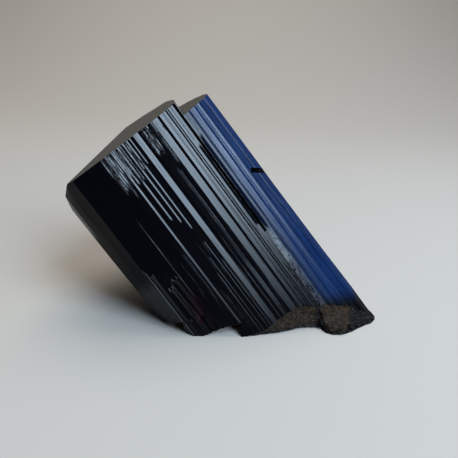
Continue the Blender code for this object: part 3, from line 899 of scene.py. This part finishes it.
class PrismFields:
    """Places, noises and masks that the colour, gloss and shine of a prism share."""

    def __init__(self, shader):
        self.shader = shader
        self.across, self.depth, self.length = shader.crystal_place()
        self.height, = shader.measure((0.0, 0.0, 1.0))
        self.streaks = self.grain(0.035, 2.6, 4.0, 0.6)
        self.hair = self.grain(0.02, 9.0, 3.0, 0.7)
        self.pits = self.grain(1.0, 2.4, 4.0, 0.65)
        self.threads = self.grain(0.012, 4.2, 2.0, 0.5)
        self.patchy = self.grain(0.12, 0.5, 2.0, 0.5)
        self.side = self.across.ramp(*SIDE_SEAM)
        self.behind = self.depth.ramp(*REAR_BEGINS)
        self.etched = 0.0
        for left, right, low, high, amount in ETCHED:
            patch = self.patch((left, right, 0.5, low, high, 3.0))
            self.etched = patch * (amount * ETCH_DULLING) + self.etched

    def grain(self, drawn_out, scale, detail, roughness):
        """Noise drawn out along the crystal: the smaller the first value, the longer."""
        place = self.shader.vector(self.across, self.depth, self.length * drawn_out)
        return self.shader.noise(place, scale, detail, roughness)

    def patch(self, area):
        """Mask of an area of the front."""
        left, right, fade, low, high, fade_along = area
        return self.across.within(left, right, fade) * self.length.within(low, high, fade_along)


def prism_colour(fields, look):
    """Black, a dark blue tint with a painted blue reflection in streaks on the second prism, and a
    faint red glow low on the front.
    """
    streaks = fields.streaks
    # Dark blue tint and painted blue reflection: strongest across the second prism, in streaks,
    # above the ground and toward the front.
    blue_tint_and_reflection = fields.side * (0.3 + 0.7 * fields.across.ramp(*NAVY_DEEPENS))
    blue_tint_and_reflection = blue_tint_and_reflection * streaks.ramp(0.3, 0.6, 0.5, 1.0) * fields.hair.ramp(0.3, 0.55, 0.45, 1.0)
    blue_tint_and_reflection = blue_tint_and_reflection * (fields.height + fields.pits * 2.0).ramp(*NAVY_ABOVE_GROUND)
    blue_tint_and_reflection = blue_tint_and_reflection * (1.0 - 0.75 * fields.behind)
    maroon = fields.patch(MAROON_GLOW) * streaks.ramp(0.5, 0.62)
    colour = fields.shader.mix(blue_tint_and_reflection, rgba(look.black), rgba(look.navy_and_blue_reflection))
    return fields.shader.mix(maroon, colour, rgba(look.maroon))


def prism_roughness(fields):
    """Glassy, duller on the second prism and in the etched patches."""
    fine = 0.05 * fields.hair.ramp(0.4, 0.7)
    return 0.11 + fine + fields.etched * 0.45 * fields.pits.ramp(0.4, 0.6) + fields.side * 0.08


def prism_normal(fields):
    """Hair lines all over, threads toward the foot and pits in the etched patches."""
    thread = fields.threads.ramp(0.59, 0.66) * fields.patchy.ramp(0.45, 0.6)
    thread = thread * fields.length.ramp(*THREADS_FADE)
    normal = fields.shader.bump(fields.hair, 0.25, 0.00004)
    normal = fields.shader.bump(thread, 0.6, 0.00004, normal)
    return fields.shader.bump(fields.pits * fields.etched, 0.5, 0.00012, normal)


def prism_shine(fields):
    """Share of the glassy surface over the matt one, weaker toward the foot."""
    across, length, side = fields.across, fields.length, fields.side
    left = across.ramp(*LEFT_FLANK) * length.ramp(*LEFT_FLANK_DARKENS)
    contour = across.ramp(*LEFT_EDGE) * length.within(30.0, 42.0, 4.0)
    shine = length.ramp(*SHINE_GROWS, 0.10, 1.0) * (1.0 - left * (1.0 - contour) * 0.9)
    corner = across.ramp(*DEEP_BLUE) * length.ramp(*DEEP_BLUE_GROWS)
    shine = shine * (1.0 - 0.45 * corner) * (1.0 - 0.5 * across.ramp(*RIGHT_EDGE))
    shine = shine * (1.0 - 0.25 * side * length.ramp(*SIDE_TOP_DULLS))
    lines = fields.hair.ramp(0.38, 0.62, 0.62, 1.0) * fields.streaks.ramp(0.35, 0.6, 0.75, 1.1)
    shine = shine * (1.0 - side * (1.0 - lines)) * fields.patchy.ramp(0.35, 0.65, 0.85, 1.05)
    shine = shine * (1.0 - 0.8 * fields.patch(BLACK_BAND)) * (1.0 - 0.35 * fields.patch(LOW_FRONT))
    shine = shine + fields.patch(PALE_STREAK) * 0.6 * fields.pits.ramp(0.35, 0.55)
    return shine * (1.0 - fields.behind) + 0.85 * fields.behind


def prism_material(look):
    """Ribbed sides, a matt and a glassy surface mixed by how much each place shines."""
    shader = Shader("tourmaline")
    fields = PrismFields(shader)
    colour = prism_colour(fields, look)
    normal = prism_normal(fields)
    glassy = shader.principled(Base_Color=colour, Roughness=prism_roughness(fields),
                               Normal=normal)
    matt = shader.principled(Base_Color=colour, Roughness=0.5, Normal=normal,
                             Specular_IOR_Level=0.03)
    return shader.output(shader.blend(prism_shine(fields), matt, glassy))


def growth_end_material(look):
    """Dull growth end with faint growth marks."""
    shader = Shader("tourmaline_growth_end")
    across, depth, length = shader.crystal_place()
    place = shader.vector(across, depth, length)
    grain = shader.noise(place, 1.6, 5.0, 0.6)
    fine = shader.noise(place, 9.0, 3.0, 0.6)
    colour = shader.mix(grain.ramp(0.35, 0.7), rgba(c * 0.7 for c in look.growth_end),
                        rgba(look.growth_end))
    normal = shader.bump(grain, 0.3, 0.0002)
    normal = shader.bump(fine, 0.3, 0.00005, normal)
    surface = shader.principled(Base_Color=colour, Roughness=0.42 + 0.2 * grain, Normal=normal)
    return shader.output(surface)


def break_material(look):
    """Rough brown-black broken stone, its brown partly a painted reflection of a wooden floor,
    with painted shade low down, on the foot's left flank and in the slot, and small bright faces.
    """
    shader = Shader("tourmaline_break")
    place = shader.vector(*shader.crystal_place())
    grain = shader.noise(place, 1.5, 6.0, 0.65)
    cells = shader.add("ShaderNodeTexVoronoi", {"feature": "F1"}, {"Vector": place, "Scale": 2.2})
    x, height, sideways, flank = shader.measure((1.0, 0.0, 0.0), (0.0, 0.0, 1.0),
                                                FOOT_RIGHT_WAY, FOOT_LEFT_WAY)
    right = (sideways + grain * 1.6).ramp(*FOOT_RIGHT_DARK)
    # Painted shade on the foot's left flank.
    left = (flank + grain * 1.2).ramp(*FOOT_LEFT_PAINTED_SHADE) * x.ramp(*FOOT_BEGINS)
    # Painted contact shade along the bottom of the broken face.
    shaded = (height + grain * 0.8).ramp(*LOW_PAINTED_SHADE)
    # Painted shade: the slot's inside is painted black and loses its glints.
    slot = height.ramp(*SLOT_PAINTED_SHADE)
    # Brown of the stone, partly a painted reflection of a wooden floor, in random darker and
    # lighter tones.
    colour = shader.mix(grain.ramp(0.38, 0.6), rgba(c * 0.22 for c in look.broken),
                        rgba(look.broken))
    # Mix toward black: the foot's right is the stone's black; the left flank, the bottom and the
    # slot's inside are painted shade.
    for mask in (right * 0.9, left * 0.85, shaded * 0.85, slot):
        colour = shader.mix(mask, colour, rgba(look.black))
    normal = shader.bump(grain, 0.9, 0.0005)
    normal = shader.bump(cells, 0.6, 0.00025, normal)
    glint = shader.noise(place, 2.9, 3.0, 0.6).ramp(0.55, 0.62) * (1.0 - slot)
    rough = shader.principled(Base_Color=colour, Roughness=0.45, Normal=normal,
                              Specular_IOR_Level=0.12)
    glassy = shader.principled(Base_Color=rgba(look.black), Roughness=0.14, Normal=normal)
    return shader.output(shader.blend(glint, rough, glassy))


class CRYSTAL_OT_build(bpy.types.Operator):
    """Build the crystal with its two prisms, growth ends and broken base"""

    bl_idname = "crystal.build"
    bl_label = "Build Crystal"

    def execute(self, context):
        look = context.scene.crystal_look
        rng = random.Random(SEED)
        sides = [prism_material(look), growth_end_material(look)]
        broken = break_material(look)
        crystal = main_prism(sides, look.rib_depth / MM, rng)
        boolean(crystal, side_prism(sides, look.rib_depth / MM, rng), "UNION")
        boolean(crystal, groove_cutter(sides[0]), "DIFFERENCE")
        boolean(crystal, notch_cutter(broken), "DIFFERENCE")
        boolean(crystal, break_cutter(broken), "DIFFERENCE")
        boolean(crystal, face_cutter(broken), "DIFFERENCE")
        boolean(crystal, broken_foot(broken), "UNION", crossings=True)
        finish_crystal(crystal)
        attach(crystal, "root")
        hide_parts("crystal")
        return {"FINISHED"}


def polar(azimuth, elevation, distance):
    """Point seen from the crystal's middle at an azimuth from +X and an elevation."""
    azimuth = math.radians(azimuth)
    elevation = math.radians(elevation)
    return Vector((math.cos(azimuth) * math.cos(elevation),
                   math.sin(azimuth) * math.cos(elevation), math.sin(elevation))) * distance


def soft_light(name, power, kind):
    """Rectangular soft light aimed at the crystal."""
    azimuth, elevation, distance, size, colour = kind
    light = bpy.data.lights.new(name, "AREA")
    light.shape = "RECTANGLE"
    light.size, light.size_y = size
    light.energy = power
    light.color = colour
    away = polar(azimuth, elevation, distance)
    lamp = bpy.data.objects.new(name, light)
    lamp.location = LIGHT_TARGET + away
    lamp.rotation_euler = (-away).to_track_quat("-Z", "Y").to_euler()
    bpy.context.scene.collection.objects.link(lamp)


def floor_and_backdrop(colour):
    """Pale floor that sweeps up behind the crystal."""
    bm = bmesh.new()
    bmesh.ops.create_grid(bm, x_segments=1, y_segments=2 * SWEEP_ROWS, size=1.0)
    for vert in bm.verts:
        row = (vert.co.y + 1.0) * SWEEP_ROWS
        turn = max(0.0, row - SWEEP_ROWS) / SWEEP_ROWS * math.pi / 2.0
        y = FLOOR_FRONT + FLOOR_DEPTH * min(row, SWEEP_ROWS) / SWEEP_ROWS
        vert.co = (vert.co.x * FLOOR_HALF_WIDTH, y + SWEEP_RADIUS * math.sin(turn),
                   SWEEP_RADIUS * (1.0 - math.cos(turn)))
    for face in bm.faces:
        face.smooth = True
    shader = Shader("studio_floor")
    surface = shader.principled(Base_Color=rgba(colour), Roughness=0.9)
    return make_object("studio_floor", bm, [shader.output(surface)])


def studio_world():
    """Dim, even surroundings."""
    world = bpy.data.worlds.new("studio")
    world.use_nodes = True
    background = world.node_tree.nodes["Background"]
    background.inputs["Color"].default_value = WORLD_COLOUR
    background.inputs["Strength"].default_value = WORLD_STRENGTH
    bpy.context.scene.world = world


def photo_camera():
    """Camera that looks at the crystal as the photograph does."""
    data = bpy.data.cameras.new("photo_camera")
    data.sensor_width = SENSOR_WIDTH
    data.lens = SENSOR_WIDTH * FOCAL_PIXELS / FRAME_PIXELS
    data.clip_start = 0.001
    camera = bpy.data.objects.new("photo_camera", data)
    back = CAMERA_RIGHT.cross(CAMERA_UP)
    turn = Matrix((CAMERA_RIGHT, CAMERA_UP, back)).transposed()
    place = (CAMERA_AT + CHIP_AT) * MM
    camera.matrix_world = Matrix.Translation(place) @ turn.to_4x4()
    bpy.context.scene.collection.objects.link(camera)
    bpy.context.scene.camera = camera


class CRYSTAL_OT_stage(bpy.types.Operator):
    """Set up the pale floor, the soft studio lights and the camera"""

    bl_idname = "crystal.stage"
    bl_label = "Set Up Studio"

    def execute(self, context):
        look = context.scene.studio_look
        floor_and_backdrop(look.floor)
        soft_light("key_light", look.key, KEY_LIGHT)
        soft_light("side_light", look.blue, SIDE_LIGHT)
        soft_light("top_light", look.fill, TOP_LIGHT)
        studio_world()
        photo_camera()
        context.scene.view_settings.view_transform = "Standard"
        return {"FINISHED"}


class CRYSTAL_PT_panel(bpy.types.Panel):
    """Sidebar panel that lists the steps"""

    bl_label = "Tourmaline Crystal"
    bl_idname = "CRYSTAL_PT_panel"
    bl_space_type = "VIEW_3D"
    bl_region_type = "UI"
    bl_category = "Crystal"

    def draw(self, context):
        layout = self.layout
        look = context.scene.crystal_look
        for name in look.__annotations__:
            layout.prop(look, name)
        layout.operator("crystal.build")
        studio = context.scene.studio_look
        for name in studio.__annotations__:
            layout.prop(studio, name)
        layout.operator("crystal.stage")


CLASSES = (CrystalLook, StudioLook, CRYSTAL_OT_build, CRYSTAL_OT_stage, CRYSTAL_PT_panel)


def register():
    """Add the classes and the scene's settings."""
    for item in CLASSES:
        bpy.utils.register_class(item)
    bpy.types.Scene.crystal_look = bpy.props.PointerProperty(type=CrystalLook)
    bpy.types.Scene.studio_look = bpy.props.PointerProperty(type=StudioLook)


def unregister():
    """Take the classes and settings away."""
    del bpy.types.Scene.studio_look
    del bpy.types.Scene.crystal_look
    for item in reversed(CLASSES):
        bpy.utils.unregister_class(item)


def main():
    """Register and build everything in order."""
    register()
    bpy.ops.crystal.build()
    bpy.ops.crystal.stage()


if __name__ == "__main__":
    main()
